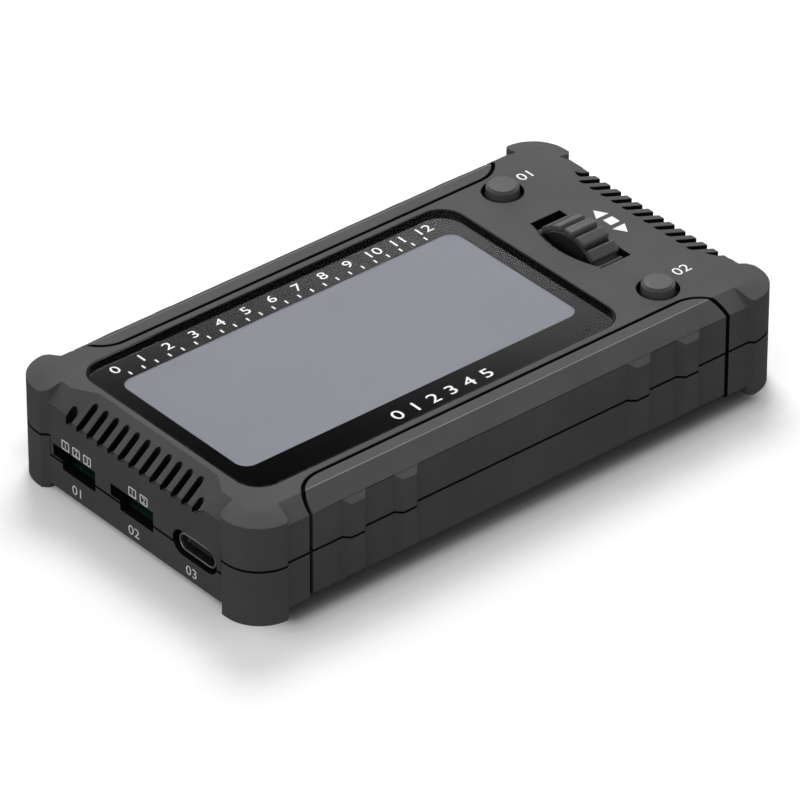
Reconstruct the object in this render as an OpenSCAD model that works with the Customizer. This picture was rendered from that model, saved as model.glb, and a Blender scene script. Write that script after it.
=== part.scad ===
// Handheld programming box with a screen, two buttons, a press-and-turn thumb wheel and three ports.
// X runs from the port end to the control end, Y across, Z up. The origin is under the middle, at the feet.

/* [Case] */
// Half length of the case, centre to end wall
case_half_l = 53.35; // [51:0.05:56]
// Half width of the case, centre to side wall
case_half_w = 29.25; // [28.5:0.05:31]
// Height of the top face above the feet
top_z = 19; // [18.6:0.1:21]
// Height of the case floor's underside above the feet
base_z = 1; // [0.6:0.1:1.2]
// Height of the parting line between the shells
part_z = 9.95; // [9.5:0.05:10.5]
// Height of the parting line on the port end, between the corner guards
end_part_z = 6.4; // [6.2:0.1:7]
// Width of the visible parting line
part_gap = 0.26; // [0.1:0.02:0.3]
// Distance from the middle to the crease where the top face turns down to the sides
side_crease = 26.15; // [25.6:0.05:26.6]
// Drop of the bevel along the sides
side_drop = 2.2; // [1.6:0.1:2.6]
// Size of the small bevel along the lower side edges
low_bevel = 0.6; // [0.2:0.1:0.8]

/* [Corner guards] */
// Half length over the corner guards
guard_half_l = 54.3; // [53.9:0.05:57]
// Half width over the corner guards
guard_half_w = 29.95; // [29.6:0.05:31.5]
// Radius of the guards' round corner
guard_r = 6.7; // [5:0.1:8]
// Width of the guards' sloping top
guard_inset = 3.5; // [2.5:0.1:4]
// Drop of the guards' sloping top
guard_drop = 1.1; // [0.6:0.1:1.6]
// Distance from the middle to the guards' edge on the side walls
guard_side_x = 46.9; // [45.5:0.1:48]
// Distance from the middle to the guards' edge on the end walls
guard_end_y = 21.3; // [20.5:0.1:22.2]

/* [Vents] */
// Number of slots at each end
vent_count = 13; // [9:2:13]
// Distance between slots
vent_pitch = 2.58; // [2.4:0.02:2.7]
// Width of a slot
vent_w = 1.3; // [1:0.1:1.5]
// Distance from the middle to the crease above the slots
vent_crease = 48.15; // [47.6:0.05:48.5]
// Distance from the middle to the crease at the port end
port_vent_crease = 48.5; // [47.6:0.05:48.8]
// Drop of the port end's bevel, which its slots are cut in
vent_drop = 3.9; // [3:0.1:4]
// Shift of the port end's slots across the end
vent_shift = 0.6; // [0:0.1:1]
// Drop of the control end's bevel
control_vent_drop = 1.8; // [1.8:0.1:3.7]
// Drop of the steeper facets beside the port end's bevel
corner_drop = 3; // [2.6:0.1:3]
// The same at the control end
control_corner_drop = 1.7; // [1.5:0.1:1.7]
// Half width of the crease above the slots
vent_half = 13.3; // [12.5:0.1:14]
// Half width of the crease at the port end
port_vent_half = 14.4; // [13:0.1:14.6]

/* [Side grips] */
// Half length of a grip panel
grip_half_l = 42; // [40:0.1:44]
// Distance from the middle to a grip's inner edge on the top face
grip_in = 23.85; // [23.4:0.05:24.2]
// Radius of a grip's corners on the top face
grip_r = 5.5; // [4:0.1:6]
// Width of the gap round a grip
grip_gap = 0.65; // [0.3:0.05:0.7]
// Thickness of a grip on the side wall
grip_t = 1.65; // [1.4:0.05:1.8]
// Distance from the middle to the outer ribs
rib_x = 34; // [32:0.1:36]
// Distance from the middle to the inner ribs
rib_in_x = 23.7; // [20:0.1:26]
// Width of a rib at its foot
rib_w = 4.7; // [3.6:0.1:5.5]
// Height of a rib above its grip
rib_h = 1.05; // [0.6:0.05:1.2]

/* [Display] */
// Left edge of the cover glass
glass_x0 = -47.3; // [-47.6:0.1:-45]
// Right edge of the cover glass
glass_x1 = 27.5; // [24:0.1:28]
// Half width of the cover glass
glass_half_w = 21.9; // [20:0.1:22.2]
// Corner radius of the cover glass
glass_r = 4.3; // [4:0.1:7]
// Thickness of the cover glass
glass_t = 1; // [0.7:0.1:1.1]
// Gap round the cover glass
glass_gap = 0.15; // [0.1:0.01:0.25]
// Left edge of the picture area
view_x0 = -43.7; // [-45:0.1:-42]
// Right edge of the picture area
view_x1 = 24.1; // [20:0.1:24.2]
// Near edge of the picture area
view_y0 = -15; // [-17:0.1:-14]
// Far edge of the picture area
view_y1 = 15.9; // [14:0.1:16]

/* [Buttons] */
// Distance from the middle to the buttons, along the length
button_x = 37; // [36:0.1:39]
// Distance from the middle to each button, across
button_y = 18.7; // [18:0.1:20]
// Diameter of the well round a button
well_d = 7; // [6.4:0.1:7.6]
// Diameter of a button
button_d = 5.5; // [5:0.1:6]
// Height of a button above the top face
button_h = 1.4; // [1.2:0.1:2.2]
// Travel of a button
button_travel = 0.35; // [0.2:0.05:0.5]

/* [Thumb wheel] */
// Place of the wheel along the length
wheel_x = 37.15; // [36:0.05:38]
// Radius over the wheel's ribs
wheel_r = 9.3; // [8.8:0.1:9.4]
// Width of the wheel
wheel_w = 5.5; // [4.5:0.1:5.6]
// Height of the wheel's axis above the feet
wheel_z = 12.4; // [12.3:0.1:12.6]
// Number of ribs round the wheel
wheel_ribs = 19; // [16:1:28]
// Depth of the grooves between the ribs
wheel_groove = 0.7; // [0.4:0.1:0.9]
// Radius of the wheel's axle
axle_r = 1; // [0.8:0.1:1.2]
// Travel of the wheel when it is pressed
wheel_travel = 0.35; // [0.2:0.05:0.4]
// Half length of the slot that the wheel stands in
slot_half = 8.6; // [8:0.1:9]
// Width of the slot that the wheel stands in
slot_w = 6.3; // [6.1:0.1:6.8]

/* [Ports] */
// Height of the ports' middle
port_z = 7; // [6.9:0.1:7.2]
// Place of the signal port across the end
signal_y = 13.9; // [13.4:0.1:14.4]
// Place of the power port across the end
power_y = -0.4; // [-1:0.1:0.6]
// Place of the round-ended port across the end
usb_y = -14.6; // [-15:0.1:-14]
// Width of a pin port
pin_port_w = 8.2; // [7.9:0.1:8.4]
// Height of a pin port
pin_port_h = 3.8; // [3.2:0.1:4]
// Width of the round-ended port's opening
usb_w = 10.7; // [10:0.1:11]
// Height of the round-ended port's opening
usb_h = 4.5; // [4.2:0.1:4.6]

/* [Board] */
// Height of the main board's top
board_z = 5.35; // [5.3:0.05:5.35]
// Thickness of the main board
board_t = 1.2; // [1:0.1:1.6]

/* [Hidden] */
$fn = 64;
cut = 0.5;                // how far a cutter stands past the face that it cuts
reach = 80;               // half size of a cutter that only has to be large
wall = 1.8;               // thickness of the shells' end walls
shelf_t = 1;              // thickness of the shelf under the cover glass
tape_t = 0.15;            // thickness of the tape under the cover glass
recess = 0.05;            // how far the cover glass lies below the top face
inner_half_l = case_half_l - wall;
inner_half_w = case_half_w - grip_t - 1.6;
inner_top = top_z - recess - glass_t - tape_t - shelf_t;
inner_floor = base_z + 1.2;
side_slope = side_drop / (case_half_w - side_crease);
vent_slope = vent_drop / (case_half_l - port_vent_crease);
band_x = guard_half_l - guard_inset;    // where the top face gives way to a guard's sloping band
guard_cx = guard_half_l - guard_r;
guard_cy = guard_half_w - guard_r;
guard_core_x = guard_cx - 5;        // inner faces of a guard, inside the case
guard_core_y = guard_cy - 6;
guard_side_ramp = guard_half_w - case_half_w;
guard_end_ramp = guard_half_l - case_half_l;
grip_low_z = base_z + 0.5;          // lower edge of the grips
grip_step = case_half_w - grip_t;   // wall that the grips lie on
grip_top_t = 0.8;                   // thickness of a grip on the top face
rib_reach = case_half_w + rib_h;
lip_h = 1.1;                        // tongue of the lower shell inside the upper one
lip_t = 0.8;
lip_gap = 0.1;
lip_half_l = inner_half_l - 10;
post_x = 45.6;                      // screw posts
post_y = 22.5;
post_r = 3.3;
screw_r = 1.2;
head_r = 2.2;
head_h = 1.6;
head_z = 1.2;                       // depth of a screw head in its post
screw_tip = 14.5;
standoff_x = [-38, 24];
standoff_y = 22.2;
standoff_r = 2.4;
board_half_l = inner_half_l - 0.4;
board_half_w = inner_half_w - 0.7;
board_low = board_z - board_t;
view_margin = 1.2;                  // glass panel's rim beyond the picture area
boss_low = inner_top - 0.8;
fit = 0.05;                         // radial clearance of a sliding or turning fit
wheel_groove_w = 1.05;              // width of the grooves between the wheel's ribs
flange_r = 3.7;
flange_z = boss_low - 0.05;
stem_r = 1.6;
switch_w = 6;
switch_h = 3.5;
plunger_r = 1.7;
plunger_low = board_z + switch_h - 1;
plunger_top = board_z + switch_h + 0.9;
hub_r = 2;
hub_tip = wheel_x - wheel_w / 2 - 5;
cheek_t = 1.8;
cheek_in = wheel_x - wheel_w / 2 - 1;    // inner face of the carrier's cheek on the encoder side
cheek_out = wheel_x + wheel_w / 2 + 1;   // inner face of the other cheek
frame_in = wheel_r + 0.9;
frame_out = frame_in + 3.2;
frame_low = wheel_z - 2;
frame_high = wheel_z + 1.6;
guide_r = 1;
guide_y = (frame_in + frame_out) / 2;
tab_x = cheek_out + cheek_t + 3.4;       // middle of the switch under the wheel
pin_pitch = 2.54;
pin_w = 0.64;
usb_shell_w = 8.94;
usb_shell_h = 3.26;
usb_len = 7.3;
shell_front = -inner_half_l - 1.2;  // mouth of the metal port shell
key_w = 2.3;                        // key slot beside a pin port
key_h = 2.2;
dark = [0.13, 0.135, 0.14];
grip_grey = [0.15, 0.155, 0.16];
screen_black = [0.02, 0.02, 0.025];
screen_grey = [0.52, 0.54, 0.59];
board_green = [0.02, 0.22, 0.12];
chip_black = [0.05, 0.05, 0.05];
metal = [0.72, 0.73, 0.74];
gold = [0.8, 0.65, 0.3];
cream = [0.85, 0.84, 0.78];

// Outlines and helpers

// Extrudes an outline drawn in Y and Z along X
module along_x(x0, x1) translate([x0, 0, 0]) rotate([90, 0, 90]) linear_extrude(x1 - x0) children();

// Extrudes an outline drawn in X and Z along Y
module along_y(y0, y1) translate([0, y1, 0]) rotate([90, 0, 0]) linear_extrude(y1 - y0) children();

module block(x0, x1, y0, y1, z0, z1) translate([x0, y0, z0]) cube([x1 - x0, y1 - y0, z1 - z0]);

module round_rect(x0, x1, y0, y1, r) {
    translate([x0 + r, y0]) square([x1 - x0 - 2 * r, y1 - y0]);
    translate([x0, y0 + r]) square([x1 - x0, y1 - y0 - 2 * r]);
    for (x = [x0 + r, x1 - r], y = [y0 + r, y1 - r]) translate([x, y]) circle(r);
}

module stadium(w, h) {
    square([w - h, h], center = true);
    for (s = [-1, 1]) translate([s * (w - h) / 2, 0]) circle(h / 2);
}

// Everything on the side of a plane that its normal points to
module beyond(p, n) {
    translate(p) rotate([0, acos(n[2] / norm(n)), atan2(n[1], n[0])])
        translate([-reach, -reach, 0]) cube([2 * reach, 2 * reach, reach]);
}

module both_ends() for (s = [0, 1]) mirror([s, 0, 0]) children();
module both_sides() for (s = [0, 1]) mirror([0, s, 0]) children();
module four_corners() both_ends() both_sides() children();

// Half outline of the case across its width, from the middle to the side wall
function side_outline(w, z0, z1) = [
    [0, z0], [w - low_bevel, z0], [w, z0 + low_bevel],
    [w, z1 - side_slope * (w - side_crease)], [side_crease, z1], [0, z1]];

module side_prism(x0, x1, w) both_sides() along_x(x0, x1) polygon(side_outline(w, base_z, top_z));

// One corner guard, at +X and +Y
module guard() {
    low = top_z - guard_drop;
    intersection() {
        linear_extrude(top_z) polygon([
            [guard_core_x, guard_core_y], [band_x - 1.45, guard_core_y],
            [band_x, guard_end_y - 0.4], [case_half_l, guard_end_y],
            [guard_half_l, guard_end_y + guard_end_ramp], [guard_half_l, guard_half_w],
            [guard_side_x + guard_side_ramp, guard_half_w], [guard_side_x, case_half_w],
            [guard_side_x - 0.6, side_crease], [guard_core_x, side_crease]]);
        union() {
            translate([guard_cx, guard_cy, 0]) rotate_extrude(angle = 90) polygon([
                [0, 0], [guard_r, 0], [guard_r, low], [guard_r - guard_inset, top_z], [0, top_z]]);
            along_x(guard_core_x, guard_cx) polygon([
                [guard_core_y, 0], [guard_half_w, 0], [guard_half_w, low],
                [guard_half_w - guard_inset, top_z], [guard_core_y, top_z]]);
            along_y(guard_core_y, guard_cy) polygon([
                [guard_cx, 0], [guard_half_l, 0], [guard_half_l, low],
                [guard_half_l - guard_inset, top_z], [guard_cx, top_z]]);
        }
    }
}

// Space above the sloping faces of the end at +X: the bevel with the vent slots, its sides, and the
// steeper facets between it and the guards
module end_bevel(drop, corner, crease, half, foot) {
    a = [crease, half, top_z];
    b = [band_x, vent_half + 5.1, top_z];
    c = [case_half_l, foot, top_z - drop];
    n = cross(c - a, b - a);
    intersection() {
        beyond([crease, 0, top_z], [drop / (case_half_l - crease), 0, 1]);
        both_sides() intersection() {
            beyond(a, n[2] > 0 ? n : -n);
            block(0, reach, -cut, reach, 0, reach);
        }
    }
    beyond([band_x, 0, top_z], [corner / (case_half_l - band_x), 0, 1]);
}

// Outer form of both shells together; its corners are the guards
module case_form() {
    difference() {
        side_prism(-case_half_l, case_half_l, case_half_w);
        four_corners() block(guard_cx, reach, guard_cy, reach, 0, reach);
        end_bevel(control_vent_drop, control_corner_drop, vent_crease, vent_half, vent_half + 4.2);
        mirror([1, 0, 0]) end_bevel(vent_drop, corner_drop, port_vent_crease, port_vent_half,
            port_vent_half + 1.2);
    }
    four_corners() guard();
}

// Space inside both shells
module case_space() intersection() {
    both_sides() along_x(-inner_half_l, inner_half_l) polygon([
        [-cut, inner_floor], [inner_half_w, inner_floor], [inner_half_w, inner_top - 1.4],
        [inner_half_w - 2, inner_top], [-cut, inner_top]]);
    both_ends() along_y(-case_half_w, case_half_w) polygon([
        [-cut, 0], [inner_half_l, 0], [inner_half_l, top_z - vent_drop - 1.2],
        [inner_half_l - (inner_top - (top_z - vent_drop - 1.2)) / vent_slope, inner_top],
        [-cut, inner_top]]);
}

// Upper part of whatever it is given, down to the parting line and over the port end's apron
module above_parting() intersection() {
    children();
    union() {
        block(-reach, reach, -reach, reach, part_z + part_gap / 2, reach);
        block(-reach, -inner_half_l - 0.05, -guard_end_y + 0.4, guard_end_y - 0.4,
            end_part_z + part_gap / 2, part_z + cut);
    }
}

module below_parting() difference() {
    children();
    block(-reach, reach, -reach, reach, part_z - part_gap / 2, reach);
    block(-reach, -inner_half_l, -guard_end_y + 0.4 - part_gap, guard_end_y - 0.4 + part_gap,
        end_part_z - part_gap / 2, part_z);
}

// Opening of a pin port, with its key slot
module pin_port(y) {
    block(-reach, -inner_half_l + cut, y - pin_port_w / 2, y + pin_port_w / 2,
        port_z - pin_port_h / 2, port_z + pin_port_h / 2);
    block(-reach, -inner_half_l + cut, y, y + pin_port_w / 2 + key_w,
        port_z + pin_port_h / 2 - key_h, port_z + pin_port_h / 2);
}

module port_openings() {
    pin_port(signal_y);
    pin_port(power_y);
    translate([0, usb_y, port_z]) along_x(-reach, -inner_half_l + cut) stadium(usb_w, usb_h);
}

// Plan of the pocket that a grip lies in; grown widens it by the gap
module grip_plan(grown) {
    l = grip_half_l + grown;
    y = grip_in - grown;
    r = grip_r + grown;
    translate([-l + r, y]) square([2 * (l - r), reach]);
    translate([-l, y + r]) square([2 * l, reach]);
    for (s = [-1, 1]) translate([s * (l - r), y + r]) circle(r);
}

// Room cut out of the shells for the grips on both sides
module grip_room() both_sides() intersection() {
    linear_extrude(reach) grip_plan(grip_gap);
    along_x(-reach, reach) polygon([
        [0, top_z - grip_top_t], [side_crease - 0.6, top_z - grip_top_t],
        [grip_step, top_z - side_drop - 0.5], [grip_step, 0], [reach, 0], [reach, reach], [0, reach]]);
}

// The part of the +Y grip between two heights; its lower edge is bevelled
module grip(z0, z1) color(grip_grey) intersection() {
    union() {
        along_x(-grip_half_l, grip_half_l) polygon([
            [grip_step, grip_low_z], [case_half_w - low_bevel, grip_low_z],
            [case_half_w, grip_low_z + low_bevel], [case_half_w, top_z - side_drop], [side_crease, top_z],
            [grip_in, top_z], [grip_in, top_z - grip_top_t], [side_crease - 0.6, top_z - grip_top_t],
            [grip_step, top_z - side_drop - 0.5]]);
        for (x = [-rib_x, -rib_in_x, rib_in_x, rib_x]) grip_rib(x);
    }
    linear_extrude(reach) grip_plan(0);
    block(-reach, reach, 0, reach, z0, z1);
}

module grip_rib(x) intersection() {
    linear_extrude(top_z) polygon([
        [x - rib_w / 2, case_half_w - 0.4], [x - rib_w / 2, case_half_w], [x - rib_w / 2 + rib_h, rib_reach],
        [x + rib_w / 2 - rib_h, rib_reach], [x + rib_w / 2, case_half_w], [x + rib_w / 2, case_half_w - 0.4]]);
    along_x(x - rib_w, x + rib_w) polygon([
        [case_half_w - 1, grip_low_z], [case_half_w - low_bevel, grip_low_z],
        [rib_reach, grip_low_z + low_bevel + rib_h],
        [rib_reach, top_z - side_slope * (rib_reach - side_crease)],
        [case_half_w - 1, top_z - side_slope * (case_half_w - 1 - side_crease)]]);
}

// Vent slots; the outermost are shorter, and the control end's start nearer the crease
module vents() {
    last = (vent_count - 1) / 2;
    for (i = [-last : last], port_end = [false, true]) {
        inner = (port_end ? port_vent_crease + 1.15 : vent_crease + 0.3)
            + (abs(i) < last ? 0 : port_end ? 2 : 1.4);
        mirror([port_end ? 1 : 0, 0, 0]) translate([inner, i * vent_pitch + (port_end ? vent_shift : 0),
            top_z - vent_drop - 1]) linear_extrude(vent_drop + 1 + cut) {
            translate([vent_w / 2, 0]) circle(d = vent_w, $fn = 16);
            translate([vent_w / 2, -vent_w / 2]) square([reach, vent_w]);
        }
    }
}

// Finger scoop beside the wheel: a shallow cone that the slot cuts short
module scoop() {
    depth = 1.3;
    arc_r = 19.2;
    edge = wheel_x - slot_w / 2;
    intersection() {
        translate([edge - 1.75 + arc_r, 0, top_z - depth])
            cylinder(h = depth + cut, r1 = arc_r - 1.75, r2 = arc_r + 0.67);
        block(edge - 2.5, edge + cut, -slot_half, slot_half, top_z - depth, top_z + cut);
    }
}

module ring(x, y, z0, z1, r, bore) translate([x, y, z0]) difference() {
    cylinder(h = z1 - z0, r = r);
    translate([0, 0, -cut]) cylinder(h = z1 - z0 + 2 * cut, r = bore);
}

// Upper shell with the display shelf, button wells, wheel slot and screw bosses
module top_shell() color(dark) difference() {
    union() {
        above_parting() difference() {
            case_form();
            case_space();
            grip_room();
        }
        for (s = [-1, 1]) translate([button_x, s * button_y, boss_low]) cylinder(h = 2, r = 4.6);
        four_corners() translate([post_x, post_y, part_z + part_gap / 2])
            cylinder(h = inner_top - part_z, r = post_r);
    }
    vents();
    port_openings();
    translate([0, 0, top_z - recess - glass_t - tape_t]) linear_extrude(reach)
        round_rect(glass_x0 - glass_gap, glass_x1 + glass_gap, -glass_half_w - glass_gap,
            glass_half_w + glass_gap, glass_r + glass_gap);
    block(view_x0 - view_margin, view_x1 + view_margin, view_y0 - view_margin, view_y1 + view_margin,
        inner_top - 1, top_z);
    block(wheel_x - slot_w / 2, wheel_x + slot_w / 2, -slot_half, slot_half, inner_top - 1, top_z + cut);
    scoop();
    for (s = [-1, 1]) translate([button_x, s * button_y, 0]) {
        translate([0, 0, boss_low - cut]) cylinder(h = reach, r = button_d / 2 + fit);
        translate([0, 0, top_z - 1.2]) cylinder(h = reach, r = well_d / 2);
    }
    four_corners() translate([post_x, post_y, 0]) cylinder(h = screw_tip + 0.3, r = screw_r);
}

// Lower shell with the floor, corner feet, locating lip, screw posts and board standoffs
module bottom_shell() color(dark) difference() {
    union() {
        below_parting() difference() {
            case_form();
            case_space();
            grip_room();
        }
        both_sides() along_x(-lip_half_l, lip_half_l) polygon([
            [inner_half_w + lip_gap, part_z - 2], [inner_half_w + lip_gap, part_z - part_gap / 2],
            [inner_half_w - lip_gap, part_z - part_gap / 2], [inner_half_w - lip_gap, part_z + lip_h],
            [inner_half_w - lip_gap - lip_t, part_z + lip_h], [inner_half_w - lip_gap - lip_t, part_z - 1]]);
        four_corners() translate([post_x, post_y, 0])
            cylinder(h = part_z - part_gap / 2, r = post_r);
        for (x = standoff_x, s = [-1, 1]) translate([x, s * standoff_y, inner_floor - cut])
            cylinder(h = board_low - inner_floor + cut, r = standoff_r);
    }
    port_openings();
    four_corners() translate([post_x, post_y, -cut]) {
        cylinder(h = reach, r = screw_r + 0.2);
        cylinder(h = head_z + head_h + cut, r = head_r + 0.2);
    }
    for (x = standoff_x, s = [-1, 1]) translate([x, s * standoff_y, inner_floor]) cylinder(h = reach, r = 0.8);
}

module far_grip_upper() grip(part_z + part_gap / 2, top_z);
module far_grip_lower() grip(grip_low_z, part_z - part_gap / 2);
module near_grip_upper() mirror([0, 1, 0]) far_grip_upper();
module near_grip_lower() mirror([0, 1, 0]) far_grip_lower();

// Display stack, from the top face down
module cover_glass() color(screen_black) translate([0, 0, top_z - recess - glass_t]) linear_extrude(glass_t)
    round_rect(glass_x0, glass_x1, -glass_half_w, glass_half_w, glass_r);

module glass_tape() color(chip_black) translate([0, 0, top_z - recess - glass_t - tape_t])
    linear_extrude(tape_t) difference() {
        round_rect(glass_x0 + 0.3, glass_x1 - 0.3, 0.3 - glass_half_w, glass_half_w - 0.3, glass_r - 0.3);
        translate([view_x0 - view_margin, view_y0 - view_margin])
            square([view_x1 - view_x0 + 2 * view_margin, view_y1 - view_y0 + 2 * view_margin]);
    }

module lcd_panel() color(screen_grey) block(view_x0 - 1, view_x1 + 1, view_y0 - 1, view_y1 + 1,
    inner_top - 0.6, top_z - recess - glass_t - 0.05);

module backlight() color(cream) block(view_x0 - 1, view_x1 + 1, view_y0 - 1, view_y1 + 1,
    inner_top - 1.8, inner_top - 0.6);

// Tray that holds the panel and its backlight up against the shelf
module lcd_frame() color(cream) difference() {
    block(view_x0 - 2.2, view_x1 + 2.2, view_y0 - 2.4, view_y1 + 2.4, inner_top - 2.6, inner_top);
    block(view_x0 - 1, view_x1 + 1, view_y0 - 1, view_y1 + 1, inner_top - 1.8, inner_top + cut);
    block(-14, -2, view_y1 - 3, view_y1 + 0.5, inner_top - 3, inner_top - 1.5);
}

// Flat cable from the backlight down to the connector on the board
module display_flex() color(gold) along_x(-13, -3) polygon([
    [view_y1 - 2.2, inner_top - 1.8], [view_y1 - 2.2, inner_top - 3.4], [view_y1 - 5, board_z + 2.2],
    [view_y1 - 9, board_z + 1], [view_y1 - 9, board_z + 0.8], [view_y1 - 4.8, board_z + 2],
    [view_y1 - 2, inner_top - 3.4], [view_y1 - 2, inner_top - 1.8]]);

module flex_connector() color(cream) difference() {
    block(-14.5, -1.5, view_y1 - 12.5, view_y1 - 8.6, board_z, board_z + 1.8);
    block(-13.1, -2.9, view_y1 - 9.1, view_y1 - 8, board_z + 0.7, board_z + 1.3);
}

// Main board, cut out round the screw posts and the wheel
module main_board() color(board_green) difference() {
    block(-board_half_l, board_half_l, -board_half_w, board_half_w, board_low, board_z);
    four_corners() translate([post_x, post_y, 0]) cylinder(h = reach, r = post_r + 0.4);
    four_corners() block(post_x, reach, post_y, reach, 0, reach);
    block(wheel_x - wheel_w / 2 - 0.8, wheel_x + wheel_w / 2 + 0.8, -7, 7, 0, reach);
    for (x = standoff_x, s = [-1, 1]) translate([x, s * standoff_y, 0]) cylinder(h = reach, r = 1.1);
    for (s = [-1, 1]) translate([wheel_x, s * guide_y, 0]) cylinder(h = reach, r = guide_r);
}

module chip(x, y, w, l, h) color(chip_black) block(x - w / 2, x + w / 2, y - l / 2, y + l / 2, board_z, board_z + h);

module processor() chip(-2, -8, 10, 10, 1.4);
module memory_chip() chip(12, -10, 5, 6, 1.5);
module voltage_regulator() chip(-28, -8, 6.5, 6, 2.2);

module power_inductor() color([0.3, 0.3, 0.32]) {
    block(-22.5, -16.5, -13, -7, board_z, board_z + 0.8);
    translate([-19.5, -10, board_z + 0.8]) cylinder(h = 2.2, r = 2.9);
}

module capacitors() color(metal) for (i = [0 : 2]) translate([-33 + 5.5 * i, 3, board_z])
    cylinder(h = 5, r = 2);

module clock_crystal() color(metal) translate([6, -17, board_z]) linear_extrude(1.6) stadium(8, 3);

module radio_board() color([0.05, 0.2, 0.35]) block(12, 24, 6, 18.5, board_z, board_z + 0.8);
module radio_shield() color(metal) block(13, 23, 6.5, 14, board_z + 0.8, board_z + 2.6);

// Header of a pin port: a plastic base on the board and square pins that point out of the port
module header(y, count) color(chip_black) difference() {
    block(-inner_half_l + 7, -inner_half_l + 9.5, y - count * pin_pitch / 2, y + count * pin_pitch / 2,
        board_z, port_z + 1.3);
    for (i = [0 : count - 1]) header_pin(y, count, i);
}

module header_pin(y, count, i) {
    py = y + (i - (count - 1) / 2) * pin_pitch;
    block(-inner_half_l + 0.6, -inner_half_l + 11, py - pin_w / 2, py + pin_w / 2,
        port_z - pin_w / 2, port_z + pin_w / 2);
}

module pins(y, count) color(gold) for (i = [0 : count - 1]) {
    header_pin(y, count, i);
    py = y + (i - (count - 1) / 2) * pin_pitch;
    block(-inner_half_l + 11 - pin_w, -inner_half_l + 11, py - pin_w / 2, py + pin_w / 2,
        board_z, port_z);
}

module signal_header() header(signal_y, 3);
module signal_pins() pins(signal_y, 3);
module power_header() header(power_y, 2);
module power_pins() pins(power_y, 2);

// Metal shell and tongue of the round-ended port
module usb_shell() color(metal) translate([0, usb_y, port_z]) difference() {
    along_x(shell_front, shell_front + usb_len) stadium(usb_shell_w, usb_shell_h);
    along_x(shell_front - cut, shell_front + usb_len - 0.6) stadium(usb_shell_w - 0.6, usb_shell_h - 0.6);
}

module usb_tongue() color(chip_black) {
    block(shell_front + 0.8, shell_front + usb_len - 0.6, usb_y - 3.34, usb_y + 3.34, port_z - 0.35, port_z + 0.35);
    block(shell_front + usb_len - 2, shell_front + usb_len - 0.6, usb_y - 3.34, usb_y + 3.34,
        port_z - 1.1, port_z + 1.1);
}

// Buttons, their switches and the plungers that they push
module button(y) color(grip_grey) translate([button_x, y, 0]) {
    edge = 0.45;
    rotate_extrude() polygon([
        [0, plunger_top], [stem_r, plunger_top], [stem_r, flange_z - 1], [flange_r, flange_z - 1],
        [flange_r, flange_z], [button_d / 2, flange_z], [button_d / 2, top_z + button_h - edge],
        [button_d / 2 - edge, top_z + button_h], [0, top_z + button_h]]);
}

module far_button() button(button_y);
module near_button() button(-button_y);

module tact_switch(x, y, travel) color(chip_black) difference() {
    block(x - switch_w / 2, x + switch_w / 2, y - switch_w / 2, y + switch_w / 2, board_z, board_z + switch_h);
    translate([x, y, plunger_low - travel - fit]) cylinder(h = reach, r = plunger_r + fit);
}

module plunger(x, y, top) color(cream) translate([x, y, plunger_low])
    cylinder(h = top - plunger_low, r = plunger_r);

module far_switch() tact_switch(button_x, button_y, button_travel);
module near_switch() tact_switch(button_x, -button_y, button_travel);
module far_plunger() plunger(button_x, button_y, plunger_top);
module near_plunger() plunger(button_x, -button_y, plunger_top);

// Wheel that turns on an axle, in a carrier that slides down two guide pins onto a switch
module thumb_wheel() color(dark) difference() {
    union() {
        translate([wheel_x - wheel_w / 2, 0, wheel_z]) rotate([0, 90, 0]) {
            rotate_extrude() polygon([
                [0, 0], [wheel_r - 0.5, 0], [wheel_r, 0.5], [wheel_r, wheel_w - 0.5],
                [wheel_r - 0.5, wheel_w], [0, wheel_w]]);
        }
        translate([hub_tip, 0, wheel_z]) rotate([0, 90, 0]) cylinder(h = 6, r = hub_r);
    }
    for (i = [0 : wheel_ribs - 1]) translate([0, 0, wheel_z]) rotate([i * 360 / wheel_ribs, 0, 0])
        block(0, reach, -wheel_groove_w / 2, wheel_groove_w / 2, wheel_r - wheel_groove, wheel_r + cut);
    translate([0, 0, wheel_z]) rotate([0, 90, 0]) cylinder(h = reach, r = axle_r + fit);
}

module wheel_axle() color(metal) translate([hub_tip - 0.9, 0, wheel_z]) rotate([0, 90, 0])
    cylinder(h = cheek_out + cheek_t - hub_tip + 0.9, r = axle_r);

module wheel_carrier() color(grip_grey) difference() {
    union() {
        block(cheek_in - cheek_t, cheek_out + cheek_t, -frame_out, frame_out, frame_low, frame_high);
        for (x = [cheek_in - cheek_t, cheek_out]) translate([x, 0, wheel_z]) rotate([0, 90, 0])
            cylinder(h = cheek_t, r = 3.4);
        block(cheek_out, tab_x + 2.4, -2.4, 2.4, frame_low, frame_low + 1.6);
    }
    block(cheek_in, cheek_out, -frame_in, frame_in, 0, reach);
    translate([0, 0, wheel_z]) rotate([0, 90, 0]) cylinder(h = reach, r = axle_r);
    translate([0, 0, wheel_z]) rotate([0, 90, 0]) cylinder(h = wheel_x, r = hub_r + fit);
    for (s = [-1, 1]) translate([wheel_x, s * guide_y, 0]) cylinder(h = reach, r = guide_r + fit);
}

// Turn sensor on the carrier's cheek, with the wheel's hub inside it
module encoder() color([0.25, 0.3, 0.28]) difference() {
    block(hub_tip - 1.6, cheek_in - cheek_t, -4.5, 4.5, wheel_z - 4, wheel_z + 3.6);
    translate([hub_tip - 0.1, 0, wheel_z]) rotate([0, 90, 0]) cylinder(h = reach, r = hub_r + fit);
    translate([hub_tip - 0.9, 0, wheel_z]) rotate([0, 90, 0]) cylinder(h = reach, r = axle_r);
}

module guide_pins() color(metal) for (s = [-1, 1]) translate([wheel_x, s * guide_y, board_low])
    cylinder(h = frame_high + 1.4 - board_low, r = guide_r);

module press_switch() tact_switch(tab_x, 0, wheel_travel);
module press_plunger() plunger(tab_x, 0, frame_low);

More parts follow.
